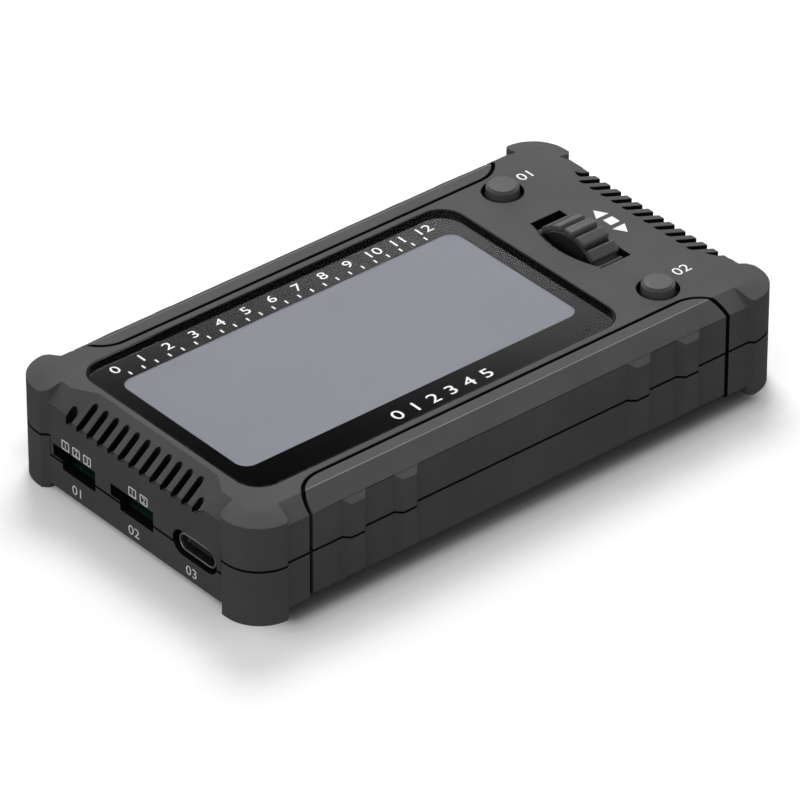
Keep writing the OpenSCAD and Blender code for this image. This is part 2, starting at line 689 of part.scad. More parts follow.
module screw(x, y, z, length, r, hr, hh) translate([x, y, z]) difference() {
    union() {
        cylinder(h = hh, r = hr);
        cylinder(h = length, r = r);
    }
    for (a = [0, 90]) rotate([0, 0, a]) block(-hr * 0.6, hr * 0.6, -0.25, 0.25, -cut, 0.7);
}

module case_screws() color(metal) four_corners() screw(post_x, post_y, head_z, screw_tip - head_z,
    screw_r, head_r, head_h);

module board_screws() color(metal) for (x = standoff_x, s = [-1, 1])
    translate([x, s * standoff_y, board_z + 1.2]) mirror([0, 0, 1]) screw(0, 0, 0, 3.4, 0.8, 1.6, 1.2);

top_shell();
bottom_shell();
near_grip_upper();
near_grip_lower();
far_grip_upper();
far_grip_lower();
cover_glass();
glass_tape();
lcd_panel();
backlight();
lcd_frame();
display_flex();
flex_connector();
main_board();
processor();
memory_chip();
voltage_regulator();
power_inductor();
capacitors();
clock_crystal();
radio_board();
radio_shield();
signal_header();
signal_pins();
power_header();
power_pins();
usb_shell();
usb_tongue();
far_button();
near_button();
far_switch();
near_switch();
far_plunger();
near_plunger();
thumb_wheel();
wheel_axle();
wheel_carrier();
encoder();
guide_pins();
press_switch();
press_plunger();
board_screws();
case_screws();
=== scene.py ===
"""Handheld programming box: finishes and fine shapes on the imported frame. Lengths are in metres."""

import math

import bmesh
import bpy
from mathutils import Matrix, Vector


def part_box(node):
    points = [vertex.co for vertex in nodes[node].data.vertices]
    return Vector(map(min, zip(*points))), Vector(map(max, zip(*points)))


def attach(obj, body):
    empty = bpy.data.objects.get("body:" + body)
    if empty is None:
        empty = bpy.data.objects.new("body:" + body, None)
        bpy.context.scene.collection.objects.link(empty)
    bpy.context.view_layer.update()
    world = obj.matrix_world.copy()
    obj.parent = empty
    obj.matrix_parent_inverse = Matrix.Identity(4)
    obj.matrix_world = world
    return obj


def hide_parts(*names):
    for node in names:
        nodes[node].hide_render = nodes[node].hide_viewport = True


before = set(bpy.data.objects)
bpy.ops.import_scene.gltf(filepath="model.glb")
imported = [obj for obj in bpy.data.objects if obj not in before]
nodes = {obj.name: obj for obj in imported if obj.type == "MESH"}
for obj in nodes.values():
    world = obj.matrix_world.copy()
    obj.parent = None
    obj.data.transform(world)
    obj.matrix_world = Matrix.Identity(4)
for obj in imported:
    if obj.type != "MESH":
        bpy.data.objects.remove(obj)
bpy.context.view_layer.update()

MM = 0.001


# Node trees -----------------------------------------------------------------------------------------


class Value:
    """A node's output that Python's operators work on: each adds the Math node that it stands for."""

    def __init__(self, graph, socket):
        self.graph = graph
        self.socket = socket

    def _math(self, operation, first, second):
        return self.graph.add("ShaderNodeMath", {"operation": operation}, {0: first, 1: second})

    def __add__(self, other):
        return self._math("ADD", self, other)

    def __radd__(self, other):
        return self._math("ADD", other, self)

    def __sub__(self, other):
        return self._math("SUBTRACT", self, other)

    def __rsub__(self, other):
        return self._math("SUBTRACT", other, self)

    def __mul__(self, other):
        return self._math("MULTIPLY", self, other)

    def __rmul__(self, other):
        return self._math("MULTIPLY", other, self)

    def __truediv__(self, other):
        return self._math("DIVIDE", self, other)

    def __lt__(self, other):
        return self._math("LESS_THAN", self, other)

    def __abs__(self):
        return self._math("ABSOLUTE", self, 0.0)

    def wrap(self, period):
        """Place within a repeat of this length, from 0 to period."""
        return self._math("FLOORED_MODULO", self, period)


class Graph:
    """A node tree, and the one method that adds any node to it."""

    def __init__(self, tree):
        self.tree = tree

    def add(self, kind, settings=None, sockets=None, output=0):
        """Adds a node: its settings first, then the values or links of its sockets. Gives one output."""
        node = self.tree.nodes.new(kind)
        for name, value in (settings or {}).items():
            if name == "stops":
                self._set_stops(node.color_ramp, value)
            else:
                setattr(node, name, value)
        for name, value in (sockets or {}).items():
            self.connect(value, node.inputs[name])
        return Value(self, node.outputs[output])

    def connect(self, value, socket):
        if isinstance(value, Value):
            self.tree.links.new(value.socket, socket)
        else:
            socket.default_value = value

    @staticmethod
    def _set_stops(ramp, stops):
        while len(ramp.elements) < len(stops):
            ramp.elements.new(1.0)
        for element, (place, level) in zip(ramp.elements, stops):
            element.position = place
            element.color = (level, level, level, 1.0)


class Finish(Graph):
    """A material: fixed socket values go straight onto its shader, and drive() links what varies."""

    def __init__(self, name, colour, **fixed):
        self.material = bpy.data.materials.new(name)
        self.material.use_nodes = True
        super().__init__(self.material.node_tree)
        self.shader = self.tree.nodes["Principled BSDF"]
        self.shader.inputs["Base Color"].default_value = (*colour, 1.0)
        for socket, value in fixed.items():
            self.shader.inputs[socket.replace("_", " ")].default_value = value
        self.place = self.add("ShaderNodeTexCoord", output="Object")

    def drive(self, **links):
        for socket, value in links.items():
            self.connect(value, self.shader.inputs[socket.replace("_", " ")])

    def noise(self, size, detail=2.0, roughness=0.5):
        """Cloudy noise from about 0 to 1, whose blotches are about size across."""
        return self.add(
            "ShaderNodeTexNoise",
            {"noise_dimensions": "3D"},
            {"Vector": self.place, "Scale": 1 / size, "Detail": detail, "Roughness": roughness},
        )

    def cells(self, size):
        """Distance to the middle of the nearest random cell, for pitted and sparked surfaces."""
        return self.add("ShaderNodeTexVoronoi", None, {"Vector": self.place, "Scale": 1 / size})

    def stretched(self, size, stretch, detail=2.0):
        """Noise drawn out along axes: stretch gives how much coarser it is along each."""
        spread = self.add(
            "ShaderNodeMapping", None, {"Vector": self.place, "Scale": tuple(1 / s for s in stretch)}
        )
        return self.add(
            "ShaderNodeTexNoise", None, {"Vector": spread, "Scale": 1 / size, "Detail": detail}
        )

    def levels(self, value, *stops):
        """A value sent through a ramp of (place, level) stops."""
        return self.add("ShaderNodeValToRGB", {"stops": stops}, {"Fac": value})

    def blend(self, factor, first, second):
        """Colour between two colours."""
        sockets = {0: factor, 6: (*first, 1.0) if isinstance(first, tuple) else first}
        sockets[7] = (*second, 1.0) if isinstance(second, tuple) else second
        return self.add("ShaderNodeMix", {"data_type": "RGBA"}, sockets, output=2)

    def bumps(self, height, depth, strength):
        """Normal of a height from 0 to 1 that stands for depth."""
        return self.add("ShaderNodeBump", None, {"Height": height, "Distance": depth, "Strength": strength})

    def axes(self):
        """The place's X, Y and Z, each as a value."""
        split = self.add("ShaderNodeSeparateXYZ", None, {"Vector": self.place})
        return [Value(self, output) for output in split.socket.node.outputs]


# Finishes -------------------------------------------------------------------------------------------


def sparked_plastic(name, colour, grain, rough, speckle=0.35, gloss=0.08):
    """Moulded plastic from a spark-eroded tool: a fine even grain, faint clouding, worn high points."""
    finish = Finish(name, colour, IOR=1.46, Specular_IOR_Level=gloss)
    clouds = finish.noise(9 * MM, 3)
    fine = finish.noise(grain, 3, 0.6)
    pits = finish.cells(grain * 1.3)
    height = fine * 0.6 + pits * 0.5
    shade = clouds * 0.5 + fine * speckle
    paler = tuple(min(1.0, c * 1.45) for c in colour)
    darker = tuple(c * 0.72 for c in colour)
    finish.drive(
        Base_Color=finish.blend(shade, darker, paler),
        Roughness=rough + (clouds - 0.5) * 0.08 + (fine - 0.5) * 0.14,
        Normal=finish.bumps(height, 0.02 * MM, 0.55),
    )
    return finish.material


def clean_plastic(name, colour, rough=0.45):
    """Small moulded parts: nearly smooth, with flow clouding."""
    finish = Finish(name, colour, IOR=1.48)
    clouds = finish.noise(2.5 * MM, 3)
    skin = finish.noise(0.25 * MM, 2)
    darker = tuple(c * 0.8 for c in colour)
    paler = tuple(min(1, c * 1.15) for c in colour)
    finish.drive(
        Base_Color=finish.blend(clouds, darker, paler),
        Roughness=rough + (skin - 0.5) * 0.16,
        Normal=finish.bumps(skin, 0.008 * MM, 0.4),
    )
    return finish.material


def bright_metal(name, colour, rough, stretch):
    """Drawn or rolled metal, with fine lines along its length."""
    finish = Finish(name, colour, Metallic=1.0)
    lines = finish.stretched(0.06 * MM, stretch, 3)
    tarnish = finish.noise(1.6 * MM, 3)
    finish.drive(
        Base_Color=finish.blend(tarnish, tuple(c * 0.82 for c in colour), colour),
        Roughness=rough + (lines - 0.5) * 0.16 + (tarnish - 0.5) * 0.1,
        Normal=finish.bumps(lines, 0.004 * MM, 0.5),
    )
    return finish.material


def solder_mask(name, mask, copper):
    """Printed board: a glossy mask over raised copper tracks, with woven glass under it."""
    finish = Finish(name, mask, Coat_Roughness=0.12, IOR=1.5)
    along, across, _ = finish.axes()
    bend = (finish.noise(6 * MM, 0) - 0.5) * (3 * MM)
    track = abs((across + bend).wrap(1.2 * MM) - 0.6 * MM) < 0.22 * MM
    link = abs((along - bend).wrap(3.9 * MM) - 1.9 * MM) < 0.2 * MM
    areas = finish.levels(finish.noise(7 * MM, 0), (0.47, 0.0), (0.5, 1.0))
    copper_here = finish.add("ShaderNodeMath", {"operation": "MAXIMUM"}, {0: track * areas, 1: link})
    weave = (finish.noise(0.35 * MM, 1) - 0.5) * 0.5 + 0.5
    finish.drive(
        Base_Color=finish.blend(copper_here * 0.75 + weave * 0.2, mask, copper),
        Roughness=0.3 + weave * 0.12,
        Coat_Weight=0.35 + copper_here * 0.2,
        Normal=finish.bumps(copper_here + weave * 0.15, 0.03 * MM, 0.8),
    )
    return finish.material


def screen_glass():
    """Clear cover over the screen, which lets lamps through to the panel under it."""
    finish = Finish("screen_glass", (1.0, 1.0, 1.0), IOR=1.06, Transmission_Weight=1.0)
    smears = finish.noise(14 * MM, 3)
    finish.drive(Roughness=smears * 0.01)
    surface = Value(finish, finish.shader.outputs[0])
    clear = finish.add("ShaderNodeBsdfTransparent")
    for ray in ("Is Diffuse Ray", "Is Shadow Ray"):
        lamp_ray = finish.add("ShaderNodeLightPath", output=ray)
        surface = finish.add("ShaderNodeMixShader", None, {0: lamp_ray, 1: surface, 2: clear})
    finish.connect(surface, finish.tree.nodes["Material Output"].inputs["Surface"])
    return finish.material


def screen_print():
    """Glossy black ink under the cover."""
    finish = Finish("screen_print", (0.002, 0.002, 0.0025), IOR=1.5)
    film = finish.noise(5 * MM, 2)
    finish.drive(
        Base_Color=finish.blend(film, (0.0015, 0.0015, 0.002), (0.003, 0.003, 0.0035)),
        Roughness=0.02 + film * 0.01,
    )
    return finish.material


def screen_panel():
    """Unlit liquid crystal panel: grey-blue, with its rows and columns of dots only just there."""
    finish = Finish("screen_panel", (0.3, 0.318, 0.365), IOR=1.4, Specular_IOR_Level=0.15)
    along, across, _ = finish.axes()
    pitch = 0.28 * MM
    gap = 0.035 * MM
    lines = finish.add(
        "ShaderNodeMath", {"operation": "MAXIMUM"}, {0: along.wrap(pitch) < gap, 1: across.wrap(pitch) < gap}
    )
    film = finish.noise(20 * MM, 2)
    finish.drive(
        Base_Color=finish.blend(
            lines * 0.1 + film * 0.25, (0.168, 0.176, 0.202), (0.152, 0.16, 0.184)
        ),
        Roughness=0.42 + film * 0.08,
    )
    return finish.material


def white_ink():
    """Screen-printed white, slightly uneven."""
    finish = Finish("white_ink", (0.82, 0.82, 0.82), IOR=1.45)
    cover = finish.noise(0.12 * MM, 2)
    finish.drive(
        Base_Color=finish.blend(cover, (0.68, 0.68, 0.68), (0.9, 0.9, 0.9)),
        Roughness=0.5 + cover * 0.15,
        Normal=finish.bumps(cover, 0.005 * MM, 0.4),
    )
    return finish.material


CASE_GREY = (0.073, 0.073, 0.074)
case_plastic = sparked_plastic("case_plastic", CASE_GREY, 0.16 * MM, 0.56)
grip_plastic = sparked_plastic("grip_plastic", CASE_GREY, 0.18 * MM, 0.54)
control_plastic = sparked_plastic("control_plastic", (0.055, 0.055, 0.056), 0.13 * MM, 0.36, 0.7, 0.25)
black_plastic = clean_plastic("black_plastic", (0.012, 0.012, 0.013), 0.4)
chip_plastic = clean_plastic("chip_plastic", (0.016, 0.016, 0.017), 0.55)
white_plastic = clean_plastic("white_plastic", (0.72, 0.7, 0.64), 0.45)
sensor_plastic = clean_plastic("sensor_plastic", (0.04, 0.07, 0.055), 0.45)
coil_ferrite = clean_plastic("coil_ferrite", (0.045, 0.045, 0.05), 0.6)
amber_film = clean_plastic("amber_film", (0.42, 0.2, 0.045), 0.3)
green_board = solder_mask("green_board", (0.003, 0.022, 0.014), (0.006, 0.05, 0.03))
blue_board = solder_mask("blue_board", (0.006, 0.03, 0.09), (0.015, 0.07, 0.17))
steel = bright_metal("steel", (0.66, 0.67, 0.68), 0.3, (6, 1, 1))
dark_steel = bright_metal("dark_steel", (0.2, 0.2, 0.21), 0.42, (1, 1, 4))
gold = bright_metal("gold", (0.83, 0.62, 0.27), 0.28, (8, 1, 1))
tape = clean_plastic("tape", (0.02, 0.02, 0.02), 0.7)
lens_clear = screen_glass()
lens_print = screen_print()
panel_grey = screen_panel()
ink = white_ink()

# Finishes that moulded() finds by name, for the faces inside its boxes
# Near-black: painted shade on the faces inside vents, ports, wheel slot, button wells, the parting gap and
# the grip grooves
sparked_plastic("recess_plastic", (0.006, 0.006, 0.006), 0.16 * MM, 0.7, gloss=0.02)
# Pale and glossier: a painted highlight along the grips' top creases
sparked_plastic("edge_plastic", (0.19, 0.19, 0.19), 0.2 * MM, 0.4, 0.6, 0.3)

SMOOTH_BELOW = math.radians(35)


# Shapes ---------------------------------------------------------------------------------------------


def even_shading(mesh):
    """Leans each corner's normal to its largest face, so that flats stay flat beside their rounded edges."""
    holder = bpy.data.objects.new("shading", mesh)
    bpy.context.scene.collection.objects.link(holder)
    lean = holder.modifiers.new("lean", "WEIGHTED_NORMAL")
    lean.keep_sharp = True
    lean.weight = 100
    seen = bpy.context.evaluated_depsgraph_get()
    result = bpy.data.meshes.new_from_object(holder.evaluated_get(seen))
    bpy.data.objects.remove(holder)
    return result


def piece(name, mesh, material, body, slot, *replaced):
    """Puts a finished mesh in the scene as a piece of the object."""
    mesh = even_shading(mesh)
    made = bpy.data.objects.new(name, mesh)
    bpy.context.scene.collection.objects.link(made)
    mesh.materials.clear()
    mesh.materials.append(material)
    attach(made, body)
    if replaced:
        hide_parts(*replaced)
    return made


def mesh_of(name, shape, smooth=SMOOTH_BELOW):
    """Turns a bmesh into a mesh, smooth where its faces meet below an angle."""
    mesh = bpy.data.meshes.new(name)
    shape.to_mesh(mesh)
    shape.free()
    mesh.shade_smooth()
    mesh.set_sharp_from_angle(angle=smooth)
    return mesh


def sharp_edges(shape, least):
    return [e for e in shape.edges if len(e.link_faces) == 2 and e.calc_face_angle() > least]


def soften(shape, width, segments=2, least=math.radians(24)):
    """Rounds every sharp edge of a bmesh."""
    bmesh.ops.bevel(
        shape,
        geom=sharp_edges(shape, least),
        offset=width,
        offset_type="WIDTH",
        segments=segments,
        profile=0.5,
        affect="EDGES",
        clamp_overlap=False,
        material=-1,
    )


def softened_copy(node, width, segments=2):
    """The shape of a CAD node with its edges rounded, as a moulding's are."""
    shape = bmesh.new()
    shape.from_mesh(nodes[node].data)
    bmesh.ops.remove_doubles(shape, verts=shape.verts, dist=0.002 * MM)
    soften(shape, width, segments)
    return mesh_of(node + "_shape", shape)


def moulded(node, width, material, body, slot, segments=2, **other):
    """A softened copy as a piece; faces inside the boxes given for another finish take that finish."""
    made = piece(node + "_moulded", softened_copy(node, width, segments), material, body, slot, node)
    for name, boxes in other.items():
        made.data.materials.append(bpy.data.materials[name])
        for face in made.data.polygons:
            if any(inside(face.center, face.normal, box) for box in boxes):
                face.material_index = len(made.data.materials) - 1
    return made


def inside(place, normal, box):
    """Whether a face lies in a box given in mm, and its normal stays under the box's limits."""
    *ranges, most = box
    within = all(low < at / MM < high for at, (low, high) in zip(place, ranges))
    return within and all(abs(part) < limit for part, limit in zip(normal, most))


def block_shape(low, high):
    """A box between two corners, as a bmesh."""
    shape = bmesh.new()
    bmesh.ops.create_cube(shape, size=1.0)
    size = Vector(high) - Vector(low)
    middle = (Vector(high) + Vector(low)) / 2
    bmesh.ops.scale(shape, vec=size, verts=shape.verts)
    bmesh.ops.translate(shape, vec=middle, verts=shape.verts)
    return shape


def lathe(profile, turn, steps=64):
    """Turns an outline of (radius, height) points about Z into a closed shape, then places it by turn."""
    shape = bmesh.new()
    verts = [shape.verts.new((radius, 0, height)) for radius, height in profile]
    edges = [shape.edges.new(pair) for pair in zip(verts, verts[1:])]
    bmesh.ops.spin(
        shape,
        geom=verts + edges,
        cent=(0, 0, 0),
        axis=(0, 0, 1),
        angle=math.tau,
        steps=steps,
        use_merge=True,
    )
    bmesh.ops.remove_doubles(shape, verts=shape.verts, dist=0.001 * MM)
    bmesh.ops.transform(shape, matrix=turn, verts=shape.verts)
    bmesh.ops.recalc_face_normals(shape, faces=shape.faces)
    return shape


def rounded_outline(low, high, radius, steps=12):
    """Corner points of a rounded rectangle, anticlockwise."""
    points = []
    corners = [
        (high[0] - radius, high[1] - radius, 0),
        (low[0] + radius, high[1] - radius, 1),
        (low[0] + radius, low[1] + radius, 2),
        (high[0] - radius, low[1] + radius, 3),
    ]
    for x, y, quarter in corners:
        for i in range(steps + 1):
            angle = (quarter + i / steps) * math.pi / 2
            points.append((x + radius * math.cos(angle), y + radius * math.sin(angle)))
    return points


def plate_shape(outline, bottom, top, hole=None):
    """A flat plate with a given outline, and a hole with as many points as the outline if one is given."""
    shape = bmesh.new()
    rings = [
        [shape.verts.new((x, y, z)) for x, y in points]
        for points in ([outline] if hole is None else [outline, hole])
        for z in (bottom, top)
    ]
    count = len(outline)

    def wall(low, high):
        for i in range(count):
            j = (i + 1) % count
            shape.faces.new((low[i], low[j], high[j], high[i]))

    wall(rings[0], rings[1])
    if hole is None:
        shape.faces.new(rings[0])
        shape.faces.new(rings[1])
    else:
        wall(rings[2], rings[3])
        wall(rings[0], rings[2])
        wall(rings[1], rings[3])
    bmesh.ops.recalc_face_normals(shape, faces=shape.faces)
    return shape


# Repeats --------------------------------------------------------------------------------------------


class Layout(Graph):
    """A Geometry Nodes tree that repeats a shape in a row, then turns that row about an axis."""

    SIZES = {
        "Count": ("NodeSocketInt", 1),
        "Step": ("NodeSocketVector", (0.0, 0.0, 0.0)),
        "Turns": ("NodeSocketInt", 1),
        "Axis": ("NodeSocketVector", (0.0, 0.0, 1.0)),
        "Centre": ("NodeSocketVector", (0.0, 0.0, 0.0)),
        "Finish": ("NodeSocketMaterial", None),
    }

    def __init__(self):
        super().__init__(bpy.data.node_groups.new("row_and_ring", "GeometryNodeTree"))
        face = self.tree.interface
        face.new_socket("Shape", in_out="INPUT", socket_type="NodeSocketGeometry")
        for name, (kind, usual) in self.SIZES.items():
            socket = face.new_socket(name, in_out="INPUT", socket_type=kind)
            if usual is not None:
                socket.default_value = usual
        face.new_socket("Shape", in_out="OUTPUT", socket_type="NodeSocketGeometry")
        given = self.tree.nodes.new("NodeGroupInput")
        self.given = {o.name: Value(self, o) for o in given.outputs if o.name}
        self.build()

    def line(self, count, step):
        """Points in a row, a step apart."""
        settings = {"mode": "OFFSET", "count_mode": "TOTAL"}
        return self.add("GeometryNodeMeshLine", settings, {"Count": count, "Offset": step})

    def build(self):
        given = self.given
        row = self.add(
            "GeometryNodeInstanceOnPoints",
            None,
            {"Points": self.line(given["Count"], given["Step"]), "Instance": given["Shape"]},
        )
        share = self.add("GeometryNodeInputIndex") / given["Turns"]
        turn = self.add(
            "ShaderNodeVectorMath", {"operation": "SCALE"}, {0: given["Axis"], "Scale": share * math.tau}
        )
        ring = self.add(
            "GeometryNodeInstanceOnPoints",
            None,
            {"Points": self.line(given["Turns"], (0.0, 0.0, 0.0)), "Instance": row, "Rotation": turn},
        )
        placed = self.add(
            "GeometryNodeTransform", None, {"Geometry": ring, "Translation": given["Centre"]}
        )
        solid = self.add("GeometryNodeRealizeInstances", None, {"Geometry": placed})
        finished = self.add(
            "GeometryNodeSetMaterial", None, {"Geometry": solid, "Material": given["Finish"]}
        )
        end = self.tree.nodes.new("NodeGroupOutput")
        self.connect(finished, end.inputs["Shape"])

    def identifier(self, name):
        """The identifier that a modifier's input goes by."""
        return next(
            item.identifier
            for item in self.tree.interface.items_tree
            if item.in_out == "INPUT" and item.name == name
        )


layout = Layout()


def repeated(name, seed, material, body, slot, replaced=(), smooth=SMOOTH_BELOW, **sizes):
    """Repeats a seed shape by the layout, whose sizes are given by name, and keeps the plain mesh."""
    mesh = mesh_of(name + "_seed", seed, smooth)
    source = bpy.data.objects.new(name + "_seed", mesh)
    bpy.context.scene.collection.objects.link(source)
    spread = source.modifiers.new("spread", "NODES")
    spread.node_group = layout.tree
    for size, value in {**sizes, "Finish": material}.items():
        spread[layout.identifier(size)] = value
    seen = bpy.context.evaluated_depsgraph_get()
    result = bpy.data.meshes.new_from_object(source.evaluated_get(seen))
    source.modifiers.remove(spread)
    bpy.data.objects.remove(source)
    result.name = name + "_shape"
    return piece(name, result, material, body, slot, *replaced)


# Case -----------------------------------------------------------------------------------------------

EDGE = 0.12 * MM

# Boxes of faces, in mm: a range along X, Y and Z, then the most that the normal may have along each
ANY = (1.1, 1.1, 1.1)


def both(low, high):
    """A range and its mirror image."""
    return (low, high), (-high, -low)


# Faces in these boxes take the near-black finish: painted shade inside the vents, ports, wheel slot, button
# wells, parting gap and the rooms under the grips
vents = [(x, (-17, 17), (12, 18.9), (0.99, 1.1, 0.3)) for x in both(48.4, 53.6)]
ports = [((-53.28, -51), (-22, 20.5), (4, 9.6), (0.5, 1.1, 1.1))]
wheel_slot = [((31, 40.4), (-8.7, 8.7), (12, 18.6), ANY)]
wells = [((33, 41), y, (12, 18.6), ANY) for y in both(14.7, 22.7)]
parting = [((-60, 60), (-31, 31), (9.74, 10.16), ANY), ((-54, -51), (-21.5, 21.5), (6.2, 6.6), ANY)]
grip_rooms = [((-42.8, 42.8), y, (1.3, 18.85), ANY) for y in both(23, 30)]
moulded(
    "top_shell",
    EDGE,
    case_plastic,
    "case",
    "case_plastic",
    recess_plastic=vents + ports + wheel_slot + wells + parting + grip_rooms,
)
moulded(
    "bottom_shell", EDGE, case_plastic, "case", "case_plastic", recess_plastic=ports + parting + grip_rooms
)
# The grips' groove walls and end arcs take the near-black finish too, as painted shade in the groove
grip_walls = [((-42.2, 42.2), y, (17, 18.9), ANY) for y in both(23.7, 24)]
grip_walls += [(x, y, (18.2, 18.85), (1.1, 1.1, 0.3)) for x in both(36.5, 42.05) for y in both(23.8, 29.3)]
# The grips' top creases, which take the pale finish as a painted highlight
highlight_creases = [((-42, 42), y, (18.88, 19.01), (1.1, 1.1, 0.9999)) for y in both(26, 26.35)]
for side in ("near", "far"):
    for level in ("upper", "lower"):
        moulded(
            f"{side}_grip_{level}",
            EDGE,
            grip_plastic,
            "case",
            "grip_plastic",
            3,
            recess_plastic=parting[:1] + grip_walls,
            edge_plastic=highlight_creases,
        )

# Screen cover: a clear pane, with ink on its back round the window

glass_low, glass_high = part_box("cover_glass")
panel_low, panel_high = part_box("lcd_panel")
GLASS_CORNER = 4.3 * MM
WINDOW_CORNER = 2.3 * MM
PANEL_RIM = 1 * MM
INK = 0.05 * MM
SKIRT = Vector((0.08 * MM, 0.08 * MM, 0))
cover_outline = rounded_outline(glass_low, glass_high, GLASS_CORNER)
pane_outline = rounded_outline(glass_low + SKIRT, glass_high - SKIRT, GLASS_CORNER - SKIRT.x)
window_low = panel_low + Vector((PANEL_RIM, PANEL_RIM, 0))
window_high = panel_high - Vector((PANEL_RIM, PANEL_RIM, 0))
window = rounded_outline(window_low, window_high, WINDOW_CORNER)

pane = plate_shape(pane_outline, glass_low.z + 2 * INK, glass_high.z)
piece("cover_pane", mesh_of("cover_pane", pane), lens_clear, "case", "lens", "cover_glass")
border = plate_shape(cover_outline, glass_low.z, glass_low.z + 0.9 * INK, window)
piece("cover_border", mesh_of("cover_border", border), lens_print, "case", "lens", "cover_glass")
edge = plate_shape(cover_outline, glass_low.z + INK, glass_high.z - 0.02 * MM, pane_outline)
piece("cover_edge", mesh_of("cover_edge", edge), lens_print, "case", "lens", "cover_glass")

# Buttons: the CAD's buttons, copied with every sharp edge rounded, the cap's shoulder too

for side in ("near", "far"):
    moulded(f"{side}_button", 0.2 * MM, control_plastic, f"{side}_button", "control_plastic", 3)

# Thumb wheel: a drum on a hub, with ribs round it

wheel_low, wheel_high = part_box("thumb_wheel")
WHEEL_RIBS = 19
WHEEL_W = 5.5 * MM
HUB_R = 2 * MM
BORE_R = 1.05 * MM
GROOVE = 0.8 * MM
wheel_r = (wheel_high.z - wheel_low.z) / 2
wheel_centre = (wheel_low + wheel_high) / 2
rim_x = max(wheel_high.x - WHEEL_W, wheel_low.x)
drum_r = wheel_r - GROOVE
DRUM_EDGE = 0.35 * MM
RIB_TOP = 1.95 * MM
RIB_FOOT = 2.35 * MM
RIB_ROOT = 0.3 * MM
RIB_REACH = 0.998 * wheel_r
RIB_EDGE = 0.45 * MM
lie_along_x = Matrix.Translation((0, 0, wheel_centre.z)) @ Matrix.Rotation(math.pi / 2, 4, "Y")
drum = lathe(
    [
        (BORE_R, wheel_low.x),
        (HUB_R, wheel_low.x),
        (HUB_R, rim_x),
        (drum_r - DRUM_EDGE, rim_x),
        (drum_r, rim_x + DRUM_EDGE),
        (drum_r, wheel_high.x - DRUM_EDGE),
        (drum_r - DRUM_EDGE, wheel_high.x),
        (BORE_R, wheel_high.x),
        (BORE_R, wheel_low.x),
    ],
    lie_along_x,
    96,
)
piece("wheel_drum", mesh_of("wheel_drum", drum), black_plastic, "wheel", "control_plastic", "thumb_wheel")

rib = block_shape((rim_x, -0.5, drum_r - RIB_ROOT), (wheel_high.x, 0.5, RIB_REACH))
for vert in rib.verts:
    width = RIB_TOP if vert.co.z > drum_r else RIB_FOOT
    vert.co.y = math.copysign(width / 2, vert.co.y)
soften(rib, RIB_EDGE, 4)
repeated(
    "wheel_ribs",
    rib,
    control_plastic,
    "wheel",
    "control_plastic",
    ["thumb_wheel"],
    Turns=WHEEL_RIBS,
    Axis=(1.0, 0.0, 0.0),
    Centre=(0.0, 0.0, wheel_centre.z),
)

# Inside ---------------------------------------------------------------------------------------------

SWITCHES = ["far_switch", "near_switch", "press_switch"]
PLUNGERS = ["far_plunger", "near_plunger", "press_plunger"]
KEPT = {
    black_plastic: ["signal_header", "power_header", "usb_tongue", *SWITCHES],
    chip_plastic: ["processor", "memory_chip", "voltage_regulator"],
    white_plastic: ["backlight", "lcd_frame", "flex_connector", *PLUNGERS],
    control_plastic: ["wheel_carrier"],
    sensor_plastic: ["encoder"],
    coil_ferrite: ["power_inductor"],
    amber_film: ["display_flex"],
    green_board: ["main_board"],
    blue_board: ["radio_board"],
    tape: ["glass_tape"],
    panel_grey: ["lcd_panel"],
    steel: ["capacitors", "clock_crystal", "radio_shield", "wheel_axle", "guide_pins", "board_screws"],
    gold: ["signal_pins", "power_pins"],
}
for material, names in KEPT.items():
    for name in names:
        nodes[name].data.materials.clear()
        nodes[name].data.materials.append(material)

moulded("case_screws", 0.06 * MM, dark_steel, "case", "steel")
moulded("usb_shell", 0.05 * MM, steel, "case", "steel")

# Marks ----------------------------------------------------------------------------------------------

INK_T = 0.02 * MM
SUNK = 0.005 * MM


def numerals(text, tall, wide=1.0):
    """Digits as a thin solid in the XY plane: tall high, centred on the origin."""
    curve = bpy.data.curves.new("numerals", "FONT")
    curve.body = text
    curve.align_x = "CENTER"
    curve.extrude = 0.5
    holder = bpy.data.objects.new("numerals", curve)
    bpy.context.scene.collection.objects.link(holder)
    seen = bpy.context.evaluated_depsgraph_get()
    mesh = bpy.data.meshes.new_from_object(holder.evaluated_get(seen))
    bpy.data.objects.remove(holder)
    shape = bmesh.new()
    shape.from_mesh(mesh)
    bmesh.ops.remove_doubles(shape, verts=shape.verts, dist=0.0001)
    low = min(v.co.y for v in shape.verts)
    high = max(v.co.y for v in shape.verts)
    scale = tall / (high - low)
    bmesh.ops.translate(shape, vec=(0, -(low + high) / 2, 0), verts=shape.verts)
    bmesh.ops.scale(shape, vec=(scale * wide, scale, INK_T), verts=shape.verts)
    return shape


def bar(wide, tall):
    """A plain rectangle."""
    return block_shape((-wide / 2, -tall / 2, -INK_T / 2), (wide / 2, tall / 2, INK_T / 2))


def wedge(wide, tall):
    """A plain triangle that points along +Y."""
    corners = [(-wide / 2, -tall / 2), (wide / 2, -tall / 2), (0, tall / 2)]
    return plate_shape(corners, -INK_T / 2, INK_T / 2)


def frame_of(wide, tall, line):
    """Outline of a box."""
    ends = (wide / 2, tall / 2)
    outer = rounded_outline((-ends[0], -ends[1]), ends, line, 2)
    inner = rounded_outline((line - ends[0], line - ends[1]), (ends[0] - line, ends[1] - line), line * 0.2, 2)
    return plate_shape(outer, -INK_T / 2, INK_T / 2, inner)


